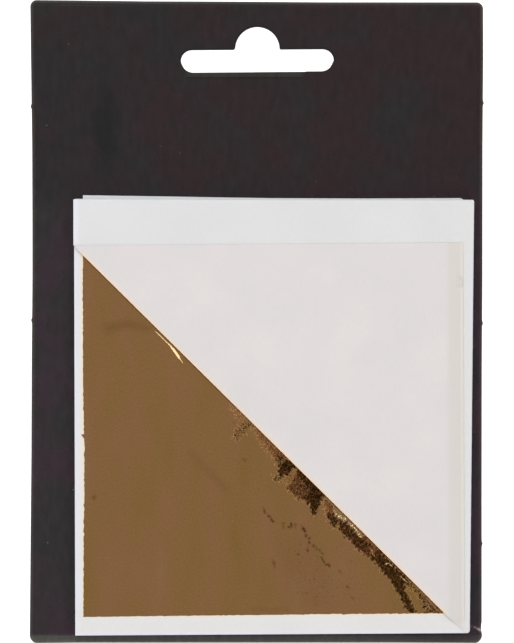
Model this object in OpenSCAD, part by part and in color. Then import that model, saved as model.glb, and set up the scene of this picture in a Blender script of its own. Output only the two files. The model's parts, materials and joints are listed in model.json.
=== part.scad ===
// Gold leaf booklet on its black hanging card.
// The card lies on its back: X to the right, Y towards the hanging slot, Z out of the front.
// The origin is the middle of the card's back. All sizes are in millimetres.

/* [Leaf] */
// Side of one square leaf
leaf_size = 80; // [60:1:120]
// Thickness that one loose leaf takes up in the stack
leaf_t = 0.02; // [0.01:0.005:0.05]
// Leaves in the booklet
leaf_count = 10; // [3:1:12]

/* [Tissue sheets] */
// Thickness of one tissue
tissue_t = 0.08; // [0.04:0.01:0.15]
// Air between a leaf and the tissue above or below it
air_gap = 0.02; // [0.01:0.01:0.1]
// Tissue left bare on the left of the leaf
margin_left = 2.2; // [1:0.1:6]
// Tissue left bare on the right of the leaf
margin_right = 6.8; // [5:0.1:10]
// Tissue left bare below the leaf
margin_bottom = 4.3; // [2:0.1:6]
// Tissue left bare between the turning line and the leaf
margin_top = 3.8; // [2:0.1:8]
// Height of the glued strip along the top
bind_h = 8.6; // [5:0.1:15]
// How much the trimmed right edge leans in at the bottom
trim_right = 1.1; // [0:0.1:2]
// How much the trimmed left edge leans in at the bottom
trim_left = 0.3; // [0:0.1:1]
// How much higher the bottom edge is on the right than on the left
trim_bottom = 0.5; // [0:0.1:1.5]
// How much lower the top edge is on the right than on the left
trim_top = 0.2; // [0:0.1:1]
// How far a sheet may stray from the one above it
sheet_jog = 0.15; // [0:0.05:0.4]
// How far a leaf may stray from the one above it
leaf_jog = 0.3; // [0:0.05:0.8]

/* [Folded front sheet] */
// Drop from the turning line to where the diagonal crease starts
crease_drop = 1.4; // [0.8:0.1:4]
// How many degrees flatter than 45 the crease runs
crease_lean = 0.3; // [0:0.1:0.6]
// Clearance on each side of a crease, where the sheet bends
crease_gap = 0.05; // [0.02:0.01:0.2]
// How far the folded front sheet springs up off the first leaf
front_lift = 0.12; // [0:0.01:0.5]

/* [Binding] */
// How far the glue stays back from the edges of the strip
glue_inset = 0.6; // [0.2:0.1:2]

/* [Back cover] */
// Thickness of the back cover
cover_t = 0.25; // [0.15:0.05:0.8]
// How far the back cover stays inside the sheets on the left
cover_inset_left = 2.2; // [0:0.1:4]
// How far the back cover stays inside the sheets on the right
cover_inset_right = 2.0; // [1:0.1:4]
// How far the back cover stays inside the sheets at the bottom
cover_inset_bottom = 1.2; // [0.6:0.1:4]
// How far the back cover stands out above the sheets on the left
cover_peek = 1.0; // [0:0.1:3]
// How much lower the back cover's top edge is on the right
cover_fall = 0.6; // [0:0.1:1]

/* [Mounting tape] */
// Length of each strip of double-sided tape
tape_w = 60; // [30:1:76]
// Width of each strip of double-sided tape
tape_h = 12; // [6:0.5:19]
// Thickness of the tape
tape_t = 0.2; // [0.1:0.05:1]
// Distance from a strip of tape to the back cover's top or bottom edge
tape_inset = 9; // [3:0.5:15]

/* [Backing card] */
// Thickness of the board
card_t = 1.0; // [0.6:0.1:2]
// Card left bare on the left of the sheets
border_left = 9.2; // [3:0.1:20]
// Card left bare on the right of the sheets
border_right = 1.8; // [1.2:0.1:20]
// Card left bare below the sheets
border_bottom = 1.6; // [1.2:0.1:20]
// Card left bare above the sheets
header_h = 44.1; // [32:0.1:70]
// Corner radius at the top of the card
corner_r_top = 1.1; // [0.5:0.1:4]
// Corner radius at the bottom of the card
corner_r_bottom = 1.7; // [0.5:0.1:4]
// How much lower the card's top edge is on the right
card_fall = 0.6; // [0:0.1:1]
// Width of the rim that the die pressed down around the front
rim_w = 0.9; // [0.4:0.1:1.1]
// Depth of that rim
rim_drop = 0.12; // [0.05:0.01:0.3]

/* [Hanging slot] */
// Length of the slot's bar, round ends included
slot_w = 34; // [26:0.5:40]
// Height of the bar
slot_h = 5.2; // [4.5:0.1:7]
// Radius of the dome over the bar's middle
dome_r = 4.95; // [4:0.05:6]
// Drop from the card's top edge to the middle of the bar
slot_drop = 13.4; // [12:0.1:18]

/* [Hidden] */
sheet_w = margin_left + leaf_size + margin_right;
sheet_h = bind_h + margin_top + leaf_size + margin_bottom;
card_w = border_left + sheet_w + border_right;
card_h = header_h + sheet_h + border_bottom;

card_left = -card_w / 2;
card_right = card_w / 2;
card_bottom = -card_h / 2;
card_top = card_h / 2;

sheet_left = card_left + border_left;
sheet_right = sheet_left + sheet_w;
sheet_bottom = card_bottom + border_bottom;
sheet_top = sheet_bottom + sheet_h;
leaf_left = sheet_left + margin_left;
leaf_bottom = sheet_bottom + margin_bottom;
turn_y = sheet_top - bind_h;

cover_z = card_t + tape_t;
stack_z = cover_z + cover_t + air_gap;
pitch = tissue_t + leaf_t + 2 * air_gap;
turn_z = tissue_z(0) + tissue_t;

cover_left = sheet_left + cover_inset_left;
cover_right = sheet_right - cover_inset_right;
cover_bottom = sheet_bottom + cover_inset_bottom;
cover_top = sheet_top + cover_peek;
tape_left = (cover_left + cover_right - tape_w) / 2;

slot_y = card_top - slot_drop;
corner_steps = 8;
past = 1;

// The crease starts on the left edge and runs down to the right, at a little less than 45 degrees.
crease_y = turn_y - crease_drop;
crease_start = [left_edge(crease_y), crease_y];
bottom_slope = trim_bottom / sheet_w;
crease_angle = 45 - crease_lean;
crease_way = [cos(crease_angle), -sin(crease_angle)];
crease_run = (crease_y - sheet_bottom) / (tan(crease_angle) + bottom_slope);
crease_end = crease_start + crease_run * [1, -tan(crease_angle)];
// Distance along a sheet's edge that keeps crease_gap square to the crease
edge_gap = crease_gap / sin(crease_angle - crease_lean);

// A numbered name with two digits. Sheet 0 is the front tissue, and 1 lies right under it.
function numbered(word, k) = str(word, k < 10 ? "0" : "", k);
// Underside of sheet k, counted from the front
function tissue_z(k) = stack_z + (leaf_count - k) * pitch + (k == 0 ? front_lift : 0);
// Sideways stray of sheet or leaf k from the front one
function stray(k, reach) = reach * [sin(137 * k), sin(211 * k)];
// Where a sheet's left and right edges are at height y
function left_edge(y) = sheet_left + trim_left * (sheet_top - y) / sheet_h;
function right_edge(y) = sheet_right - trim_right * (sheet_top - y) / sheet_h;

function quarter(centre, r, from) =
    [for (i = [0:corner_steps]) centre + r * [cos(from + 90 * i / corner_steps), sin(from + 90 * i / corner_steps)]];

// The card's outline with its four round corners, drawn in by inset
function card_outline(inset) = let (
    left = card_left + inset, right = card_right - inset,
    low = card_bottom + inset, high = card_top - inset
) concat(
    quarter([right - corner_r_top, high - card_fall - corner_r_top], corner_r_top, 0),
    quarter([left + corner_r_top, high - corner_r_top], corner_r_top, 90),
    quarter([left + corner_r_bottom, low + corner_r_bottom], corner_r_bottom, 180),
    quarter([right - corner_r_bottom, low + corner_r_bottom], corner_r_bottom, 270)
);

// The strip of one sheet above the turning line, drawn in by inset
module margin_outline(inset = 0) {
    polygon([
        [left_edge(sheet_top) + inset, sheet_top - inset],
        [right_edge(sheet_top) - inset, sheet_top - trim_top - inset],
        [right_edge(turn_y) - inset, turn_y + inset],
        [left_edge(turn_y) + inset, turn_y + inset]
    ]);
}

module slot_outline() {
    bar_end = slot_w / 2 - slot_h / 2;
    dome_y = slot_y + slot_h / 2;
    for (side = [-1, 1]) translate([side * bar_end, slot_y]) circle(r = slot_h / 2, $fn = 48);
    translate([-bar_end, slot_y - slot_h / 2]) square([2 * bar_end, slot_h]);
    intersection() {
        translate([0, dome_y]) circle(r = dome_r, $fn = 64);
        translate([-dome_r, dome_y - past]) square([2 * dome_r, dome_r + 2 * past]);
    }
}

// Black board with a pressed rim and the hanging slot
module backing_card() {
    color([0.20, 0.17, 0.18]) difference() {
        union() {
            linear_extrude(card_t - rim_drop) polygon(card_outline(0));
            linear_extrude(card_t) polygon(card_outline(rim_w));
        }
        translate([0, 0, -past]) linear_extrude(card_t + 2 * past) slot_outline();
    }
}

// Double-sided tape between the card and the booklet's back cover
module tape(y) {
    color([0.88, 0.86, 0.80]) translate([tape_left, y, card_t]) cube([tape_w, tape_h, tape_t]);
}

// Stiffer sheet at the back, cut narrower than the tissues
module back_cover() {
    color([0.90, 0.90, 0.90]) translate([0, 0, cover_z]) linear_extrude(cover_t) polygon([
        [cover_left, cover_top],
        [cover_right, cover_top - cover_fall],
        [cover_right, cover_bottom],
        [cover_left, cover_bottom]
    ]);
}

// The strip of every sheet that is glued down and never turns
module glued_margins() {
    color([0.88, 0.88, 0.88]) for (k = [0:leaf_count])
        translate(concat(stray(k, sheet_jog), tissue_z(k))) linear_extrude(tissue_t) margin_outline();
}

// A film of glue under each margin, the last one down to the back cover
module spine_glue() {
    color([0.93, 0.90, 0.82]) for (k = [0:leaf_count]) {
        film = k == leaf_count ? air_gap : tissue_z(k) - tissue_z(k + 1) - tissue_t;
        translate(concat(stray(k, sheet_jog), tissue_z(k) - film)) linear_extrude(film) margin_outline(glue_inset);
    }
}

// The turning part of sheet k
module tissue(k) {
    hinge_y = turn_y - crease_gap;
    low_right = sheet_bottom + trim_bottom;
    color([0.90, 0.89, 0.88]) translate(concat(stray(k, sheet_jog), tissue_z(k))) linear_extrude(tissue_t) polygon([
        [left_edge(hinge_y), hinge_y],
        [right_edge(hinge_y), hinge_y],
        [right_edge(low_right), low_right],
        [left_edge(sheet_bottom), sheet_bottom]
    ]);
}

// Leaf k lies loose on sheet k
module gold_leaf(k) {
    leaf_z = tissue_z(k) + tissue_t + air_gap;
    color([0.52, 0.40, 0.26]) translate(concat([leaf_left, leaf_bottom] + stray(k - 1, leaf_jog), leaf_z))
        cube([leaf_size, leaf_size, leaf_t]);
}

// What is left of the front sheet above its diagonal crease
module front_tissue() {
    hinge_y = turn_y - crease_gap;
    low_right = sheet_bottom + trim_bottom;
    color([0.92, 0.91, 0.90]) translate([0, 0, tissue_z(0)]) linear_extrude(tissue_t) polygon([
        [left_edge(hinge_y), hinge_y],
        [right_edge(hinge_y), hinge_y],
        [right_edge(low_right), low_right],
        crease_end + [edge_gap, edge_gap * bottom_slope],
        crease_start + [0, edge_gap]
    ]);
}

// The front sheet's lower left half, turned up over the crease: mirrored across it
module front_flap() {
    corner = [left_edge(sheet_bottom), sheet_bottom] - crease_start;
    turned_corner = crease_start + 2 * (corner * crease_way) * crease_way - corner;
    from_start = turned_corner - crease_start;
    from_end = turned_corner - crease_end;
    color([0.90, 0.88, 0.87]) translate([0, 0, turn_z + air_gap]) linear_extrude(tissue_t) polygon([
        crease_start + edge_gap * from_start / norm(from_start),
        crease_end + edge_gap * from_end / norm(from_end),
        turned_corner
    ]);
}

backing_card();
tape(cover_top - cover_fall - tape_inset - tape_h);  // upper_tape
tape(cover_bottom + tape_inset);  // lower_tape
back_cover();
glued_margins();
spine_glue();
for (k = [1:leaf_count]) tissue(k);
for (k = [1:leaf_count]) gold_leaf(k);
front_tissue();
front_flap();
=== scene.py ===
import functools
import json
import math

import bpy
import numpy as np
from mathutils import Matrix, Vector
from mathutils.geometry import delaunay_2d_cdt


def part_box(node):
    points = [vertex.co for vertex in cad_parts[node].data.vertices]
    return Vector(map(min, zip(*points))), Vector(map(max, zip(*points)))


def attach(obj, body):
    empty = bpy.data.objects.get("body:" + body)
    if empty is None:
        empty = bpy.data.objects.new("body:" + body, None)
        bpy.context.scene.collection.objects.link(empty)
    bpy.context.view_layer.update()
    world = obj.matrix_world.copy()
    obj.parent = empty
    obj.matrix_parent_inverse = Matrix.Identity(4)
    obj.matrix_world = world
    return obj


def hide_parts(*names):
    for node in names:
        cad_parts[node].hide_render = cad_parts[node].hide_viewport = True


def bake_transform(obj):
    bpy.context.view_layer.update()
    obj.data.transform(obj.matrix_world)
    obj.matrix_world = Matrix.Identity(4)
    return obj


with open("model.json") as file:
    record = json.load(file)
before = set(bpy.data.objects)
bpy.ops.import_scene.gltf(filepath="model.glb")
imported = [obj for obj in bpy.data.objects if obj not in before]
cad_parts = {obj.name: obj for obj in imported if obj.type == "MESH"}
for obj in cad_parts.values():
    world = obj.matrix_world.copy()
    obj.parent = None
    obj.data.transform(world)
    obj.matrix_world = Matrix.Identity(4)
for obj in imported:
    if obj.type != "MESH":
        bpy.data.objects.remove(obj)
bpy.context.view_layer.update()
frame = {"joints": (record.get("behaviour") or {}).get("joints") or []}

# Camera
# It looks straight down at the card, which lies on its back with the slot at the top.
# The picture is 514 x 643 pixels and takes in the card with a strip of floor at each side.
MM = 0.001
picture_high = 643
px_per_mm = 4.5
eye_height = 1200.0
sheets_level = 1.6

view = bpy.data.cameras.new("camera")
view.sensor_width = 36.0
view.lens = view.sensor_width * (eye_height - sheets_level) / (picture_high / px_per_mm)
view.clip_start = 0.1
view.clip_end = 10.0
camera = bpy.data.objects.new("camera", view)
camera.location = (0.1 * MM, 0.0, eye_height * MM)
bpy.context.scene.collection.objects.link(camera)
bpy.context.scene.camera = camera
bpy.context.scene.view_settings.view_transform = "Standard"


# Studio
# A sheet of white acrylic lit softly from below, under a tent of white cloth. The tent has a grey patch
# overhead, round the camera, and a dark ring outside that, which is what a flat metal leaf mirrors.
def hue(code):
    """An sRGB hex colour as linear red, green, blue and alpha."""
    parts = [int(code[i:i + 2], 16) / 255 for i in (1, 3, 5)]
    return [c / 12.92 if c <= 0.04045 else ((c + 0.055) / 1.055) ** 2.4 for c in parts] + [1.0]


def plug(tree, holder, values):
    """Gives a node's sockets their values, by name or in order. A value is a number, a hex colour or another
    node's output."""
    in_use = [socket for socket in holder.inputs if socket.enabled]
    named = isinstance(values, dict)
    for key, value in values.items() if named else enumerate(values):
        socket = holder.inputs[key] if named else in_use[key]
        if isinstance(value, bpy.types.NodeSocket):
            tree.links.new(value, socket)
        else:
            socket.default_value = hue(value) if isinstance(value, str) else value


def node(tree, kind, values=(), out=None, stops=(), **settings):
    """Adds one node with its settings and links, and returns its output called out, or its first one. A Mix
    node mixes colours, and stops fill a colour ramp with hex colours or grey levels."""
    made = tree.nodes.new("ShaderNode" + kind)
    if kind == "Mix":
        made.data_type = "RGBA"
    for name, value in settings.items():
        setattr(made, name, value)
    for i, (place, tone) in enumerate(stops):
        ramp = made.color_ramp.elements
        stop = ramp[i] if i < 2 else ramp.new(place)
        stop.position = place
        stop.color = hue(tone) if isinstance(tone, str) else (tone, tone, tone, 1.0)
    plug(tree, made, values)
    return made.outputs[out] if out else next((socket for socket in made.outputs if socket.enabled), None)


def finish(name):
    """A new material, what adds nodes to it, and its pattern coordinate in millimetres on the flat piece."""
    made = bpy.data.materials.new(name)
    made.use_nodes = True
    add = functools.partial(node, made.node_tree)
    return made, add, add("Attribute", out="Vector", attribute_name="flat")


def shaded(material, **values):
    """Gives the material's shader its values. An underscore in a name stands for a space."""
    tree = material.node_tree
    values = {name.replace("_", " "): value for name, value in values.items()}
    plug(tree, tree.nodes["Principled BSDF"], values)
    return material


floor_half = 3000.0
floor_gap = 0.02
floor_mesh = bpy.data.meshes.new("floor")
floor_mesh.from_pydata([(x * floor_half * MM, y * floor_half * MM, -floor_gap * MM)
                        for x, y in ((-1, -1), (1, -1), (1, 1), (-1, 1))], [], [(0, 1, 2, 3)])
floor = bpy.data.objects.new("floor", floor_mesh)
bpy.context.scene.collection.objects.link(floor)
# The acrylic is matt and even, and glows a little, so that it shows almost pure white.
floor_mesh.materials.append(shaded(finish("white_acrylic_sheet")[0], Base_Color="#e6e6e6", Roughness=0.7,
                                   Specular_IOR_Level=0.2, Emission_Color="#ffffff", Emission_Strength=0.75))

tent = bpy.data.worlds.new("cloth_tent")
bpy.context.scene.world = tent
tent.use_nodes = True
tent.node_tree.nodes.clear()
add = functools.partial(node, tent.node_tree)
height = add("SeparateXYZ", [add("TexCoord")], out="Z")
# Each stop is the brightness at an angle off the vertical. The cosine of that angle is its place on the ramp.
tent_tones = [(90, 0.48), (74, 0.54), (62, 0.8), (46, 0.8), (40, 0.3), (34, 0.03), (25, 0.03), (20, 0.112),
              (0, 0.116)]
tones = [(math.cos(math.radians(angle)), tone) for angle, tone in tent_tones]
add("OutputWorld", [add("Background", {"Color": add("ValToRGB", [height], stops=tones), "Strength": 2.0})])

softbox = bpy.data.lights.new("softbox_behind_the_top", "AREA")
softbox.size = 0.7
softbox.energy = 4.0
held = bpy.data.objects.new(softbox.name, softbox)
held.location = (-0.35, 0.95, 0.85)
held.rotation_euler = (-held.location).to_track_quat("-Z", "Y").to_euler()
bpy.context.scene.collection.objects.link(held)


# Backing card
# A 1 mm board with a black print on the front under a clear gloss film, and bare grey board at the back.
# A die cuts the outline and the hanging slot, leaves small nicks on the long sides where the cards hung
# together, and presses the rim down. The lower right corner has been bent once.
def smooth(t):
    """Rises from 0 to 1 as t does, and levels out at both."""
    t = np.clip(t, 0, 1)
    return t * t * (3 - 2 * t)


def arc(centre, radius, start, stop, steps):
    """Points along part of a circle, with the angles in degrees."""
    turn = np.radians(np.linspace(start, stop, steps + 1))
    return np.array(centre) + radius * np.stack([np.cos(turn), np.sin(turn)], 1)


def straight(start, end, step):
    """Points from start up to, and without, end."""
    count = max(1, round(math.dist(start, end) / step))
    return np.array(start) + np.outer(np.arange(count) / count, np.subtract(end, start))


def inside(points, loops):
    """True for the points that an odd number of loops goes round."""
    within = np.zeros(len(points), bool)
    x, y = points.T
    for loop in loops:
        for (ax, ay), (bx, by) in zip(loop, np.roll(loop, -1, 0)):
            if ay != by:
                within ^= ((ay > y) != (by > y)) & (x < ax + (y - ay) * (bx - ax) / (by - ay))
    return within


def gap_to_path(points, path):
    """Distance from each point to the nearest place on an open path."""
    best = np.full(len(points), np.inf)
    for a, b in zip(path[:-1], path[1:]):
        run = b - a
        along = np.clip((points - a) @ run / max(run @ run, 1e-12), 0, 1)
        best = np.minimum(best, np.hypot(*(points - a - along[:, None] * run).T))
    return best


def gap_to(points, loop):
    """Distance from each point to the nearest place on a loop."""
    return gap_to_path(points, np.concatenate([loop, loop[:1]]))


def drawn_in(loop, inset):
    """A loop moved sideways by inset, to its left."""
    way = np.roll(loop, -1, 0) - np.roll(loop, 1, 0)
    way /= np.hypot(*way.T)[:, None]
    return loop + inset * np.stack([-way[:, 1], way[:, 0]], 1)


def grid(left, low, right, high, step, step_y=None):
    """Points in rows over a rectangle, each moved a little so that no four lie on one circle."""
    step_y = step_y or step
    x, y = np.meshgrid(np.arange(left, right, step), np.arange(low, high, step_y))
    x, y = x.ravel(), y.ravel()
    return np.stack([x + 0.13 * step * np.sin(7 * x + 11 * y), y + 0.13 * step_y * np.sin(5 * x + 13 * y)], 1)


def cut_out(name, loops, inner, place, materials, side_material=0, back_material=0, sharp=60):
    """A thin closed piece. The first loop is its outline, the others are holes, and inner are points between.
    place gives the upper and the lower surface over an array of flat points. Everything is in millimetres.
    Bends of more than sharp degrees show as edges."""
    points = np.concatenate([*loops, inner])
    starts = np.cumsum([0, *map(len, loops)])
    edges = [(int(start + i), int(start + (i + 1) % len(loop)))
             for start, loop in zip(starts, loops) for i in range(len(loop))]
    cut = delaunay_2d_cdt([Vector(p) for p in points], edges, [], 0, 1e-7)
    flat_points = np.array([tuple(p) for p in cut[0]])
    faces = np.array(cut[2])
    corner = flat_points[faces]
    a, b = corner[:, 1] - corner[:, 0], corner[:, 2] - corner[:, 0]
    turned = a[:, 0] * b[:, 1] - a[:, 1] * b[:, 0]
    faces[turned < 0] = faces[turned < 0][:, ::-1]
    faces = faces[inside(corner.mean(1), loops) & (np.abs(turned) > 1e-9)]
    used, faces = np.unique(faces, return_inverse=True)
    faces = faces.reshape(-1, 3)
    flat_points = flat_points[used]
    upper, lower = place(flat_points)
    sides = np.concatenate([faces[:, [0, 1]], faces[:, [1, 2]], faces[:, [2, 0]]])
    count = len(flat_points)
    key = np.sort(sides, 1) @ [count, 1]
    _, first, met = np.unique(key, return_index=True, return_counts=True)
    rim = sides[first[met == 1]]
    walls = np.stack([rim[:, 0] + count, rim[:, 1] + count, rim[:, 1], rim[:, 0]], 1)
    mesh = bpy.data.meshes.new(name)
    mesh.from_pydata((np.concatenate([upper, lower]) * MM).tolist(), [],
                     [*faces.tolist(), *(faces[:, ::-1] + count).tolist(), *walls.tolist()])
    for material in materials:
        mesh.materials.append(material)
    slots = np.repeat([0, back_material, side_material], [len(faces), len(faces), len(walls)])
    mesh.polygons.foreach_set("material_index", slots.astype(np.int32))
    held = mesh.attributes.new("flat", "FLOAT_VECTOR", "POINT")
    twice = np.pad(np.concatenate([flat_points, flat_points]), ((0, 0), (0, 1)))
    held.data.foreach_set("vector", twice.astype(np.float32).ravel())
    mesh.shade_smooth()
    mesh.set_sharp_from_angle(angle=math.radians(sharp))
    made = bpy.data.objects.new(name, mesh)
    bpy.context.scene.collection.objects.link(made)
    return made


def at_height(points, level):
    """Flat points with a height each."""
    return np.column_stack([points, np.broadcast_to(level, len(points))])


def corners_of(node_name):
    """A CAD node's lowest and highest corners, in millimetres."""
    low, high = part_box(node_name)
    return np.array(low) / MM, np.array(high) / MM


card_low, card_high = corners_of("backing_card")
card_t = card_high[2]
corner_top = 1.45
corner_bottom = 1.7
nick_pitch = 49.0
nick_out = 0.2
nick_half = 0.4
rim_w = 0.9
rim_drop = 0.07
edge_round = 0.1
back_round = 0.12
rim_groove = 0.03
header_flex = 0.05
corner_lift = 0.25
corner_ridge = 0.05
bottom_flare = 0.22
slot_x = 0.16
slot_w = 34.0
slot_h = 4.96
dome_r = 4.92
slot_from_top = 13.26
slot_y = card_high[1] - slot_from_top
slot_step_x = 10.6
slot_step_up = 0.08
throat_round = 0.4
lip_h = 1.25
lip_w = 26.7
lip_middle = -2.75
lip_drop = 0.1


def card_left(y):
    bow = np.interp(y, [-71, -49, -29, -9, 10, 20, 39, 59, 71], [45, 26, 8, 1, -14, -14, -8, 18, 33])
    return card_low[0] - bow / 100


def card_right(y):
    bow = np.interp(y, [-69.7, -68.9, -68.1, -66.6, -39, -19, -9, 10, 39, 59, 71],
                    [15, 4, -8, 8, 7, 9, 11, 23, 26, 41, 38])
    return card_high[0] + bow / 100


def card_top(x):
    return card_high[1] + np.interp(x, [-50, -40, -25, -2, 14, 50], [0.3, 0.2, 0.02, -0.08, -0.2, -0.22])


def card_bottom(x):
    return card_low[1] - np.interp(x, [-50, -47, -40, 30, 43, 50], [0.27, 0.24, 0.14, 0.13, 0.2, 0.22])


def long_side(low, high, nicks, side, outward):
    """Points up one long side, closer together at the nicks that the die left and near the lower corner."""
    fine = [nick + nick_half * np.linspace(-2, 2, 9) for nick in nicks]
    y = np.unique(np.concatenate([np.linspace(low, high, 110), low + np.arange(0.2, 4, 0.25), *fine]))
    nib = sum(nick_out * np.exp(-((y - nick) / nick_half) ** 2) for nick in nicks)
    return np.stack([side(y) + outward * nib, y], 1)


low, high = card_low[1], card_high[1]
left_top, right_top = card_top(card_low[0]), card_top(card_high[0])
low_left, low_right = card_bottom(card_low[0]), card_bottom(card_high[0])
right_side = long_side(low_right + corner_bottom, right_top - corner_top,
                       [-0.4 + nick_pitch * k for k in (-1, 0, 1)], card_right, 1)
left_side = long_side(low_left + corner_bottom, left_top - corner_top,
                      [0.3 + 0.97 * nick_pitch * k for k in (0, 1)], card_left, -1)[::-1]
top_right = arc(right_side[-1] - [corner_top, 0], corner_top, 0, 90, 8)
top_left = arc(left_side[0] + [corner_top, 0], corner_top, 90, 180, 8)
bottom_left = arc(left_side[-1] + [corner_bottom, 0], corner_bottom, 180, 270, 8)
bottom_right = arc(right_side[0] - [corner_bottom, 0], corner_bottom, 270, 360, 8)
top_side = straight(top_right[-1], top_left[0], 1.0)[1:]
top_side[:, 1] = card_top(top_side[:, 0])
bottom_side = straight(bottom_left[-1], bottom_right[0], 1.0)[1:]
bottom_side[:, 1] = card_bottom(bottom_side[:, 0])
card_outline = np.concatenate([right_side[:-1], top_right, top_side, top_left[:-1],
                               left_side[:-1], bottom_left, bottom_side, bottom_right[:-1]])

bar_end = slot_w / 2 - slot_h / 2
bar_top = slot_y + slot_h / 2
bar_low = slot_y - slot_h / 2
throat = dome_r + throat_round
dome_start = math.degrees(math.asin(throat_round / dome_r))
right_end = arc((bar_end, slot_y), slot_h / 2, -90, 90, 14)
left_end = arc((-bar_end, slot_y), slot_h / 2, 90, 270, 14)
right_end[:, 0] -= 0.3 * smooth((slot_y + 0.2 - right_end[:, 1]) / 1.2)
left_end[:, 0] += 0.2 * smooth((slot_y + 0.2 - left_end[:, 1]) / 1.2)
right_end[:, 1] += slot_step_up * (1 - smooth((right_end[:, 1] - bar_low) / 1.2))
slot_outline = np.concatenate([
    right_end, straight((bar_end, bar_top), (throat, bar_top), 0.7)[1:],
    arc((throat, bar_top + throat_round), throat_round, 270, 180, 6)[:-1],
    arc((0.05, bar_top + 0.12), dome_r, dome_start, 180 - dome_start, 36),
    arc((-throat, bar_top + throat_round), throat_round, 360, 270, 6)[1:],
    straight((-throat, bar_top), (-bar_end, bar_top), 0.7)[1:],
    left_end,
    straight((-bar_end, bar_low), (slot_step_x, bar_low), 0.7)[1:],
    straight((slot_step_x, bar_low), (slot_step_x + 0.3, bar_low + slot_step_up), 0.2),
    straight((slot_step_x + 0.3, bar_low + slot_step_up), (bar_end, bar_low + slot_step_up), 0.7)])

slot_lean = math.radians(0.42)
slot_outline = (slot_outline - [0, slot_y]) @ [[1, slot_lean], [-slot_lean, 1]] + [slot_x, slot_y]

bent_from = np.array([47.7, -67.6])
bent_to = np.array([50.1, -68.8])
bent_way = (bent_to - bent_from) / math.dist(bent_from, bent_to)
bent_out = np.array([bent_way[1], -bent_way[0]])


def bent_corner(points):
    """How far each point lies past the corner's crease line, and along it from its inner end."""
    return (points - bent_from) @ bent_out, (points - bent_from) @ bent_way


def card_surfaces(points):
    """The pressed and rounded front, and the back, with the corner bent up."""
    x, y = points.T
    edge, slot = gap_to(points, card_outline), gap_to(points, slot_outline)
    past, along = bent_corner(points)
    lifted = corner_lift * smooth(past / 3.5) * smooth((along + 1) / 3)
    ridge = corner_ridge * np.exp(-(past / 0.14) ** 2) * smooth((along + 0.3) / 1.5)
    header = smooth((y - 30) / 12) * smooth(edge / 6)
    flex = header_flex * header * (np.sin(x / 9 + 1) + np.sin(x / 17 - y / 8))
    front = card_t + flex + ridge
    front = front - rim_drop * (1 - smooth((edge - rim_w + 0.15) / 0.4))
    front = front - rim_groove * np.exp(-((edge - rim_w - 0.1) / 0.12) ** 2)
    for gap in (edge, slot):
        front = front - edge_round * (1 - np.sqrt(1 - (1 - np.clip(gap / edge_round, 0, 1)) ** 2))
    on_lip = (y < bar_low) & (np.abs(x - lip_middle) < lip_w / 2)
    front = front - lip_drop * smooth((lip_h - (bar_low - y)) / lip_h) * on_lip
    back = back_round * (1 - smooth(edge / 0.3)) + back_round * (1 - smooth(slot / 0.3))
    spread = points.copy()
    spread[:, 1] -= bottom_flare * smooth((low + 0.6 - y) / 0.8)
    return at_height(points, front + lifted), at_height(spread, back + lifted)


inner_card = grid(card_low[0] + 1.6, low + 1.6, card_high[0] - 1.6, high - 2.2, 2.0)
near_slot = grid(-19, bar_low - 2.4, 19, bar_top + dome_r + 2, 0.45)
near_corner = grid(44, low + 1.4, card_high[0] - 1.4, low + 8, 0.3)
slot_gap = gap_to(near_slot, slot_outline)
near_slot = near_slot[(slot_gap > 1.5) & (slot_gap < 2.3) & ~inside(near_slot, [slot_outline])]
coarse_gap = gap_to(inner_card, slot_outline)
inner_card = inner_card[(coarse_gap > 2.6) & ~inside(inner_card, [slot_outline])]
inner_card = inner_card[~((inner_card[:, 0] > 43.5) & (inner_card[:, 1] < low + 8.5))]
rim_insets = (0.03, 0.08, 0.16, 0.35, 0.6, 0.75, 0.88, 1.0, 1.15, 1.35)
lip_insets = (0.03, 0.08, 0.16, 0.3, 0.7, 1.15, 1.32)
rim_loops = [drawn_in(card_outline, inset) for inset in rim_insets]
lip_loops = [drawn_in(slot_outline, -inset) for inset in lip_insets]


def toned(add, colour, pattern, low, high):
    """A colour made darker and lighter by a pattern, between low and high times as bright."""
    tone = add("MapRange", [pattern, 0.3, 0.7, low, high])
    return add("Mix", [1.0, colour, tone], blend_type="MULTIPLY")


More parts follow.
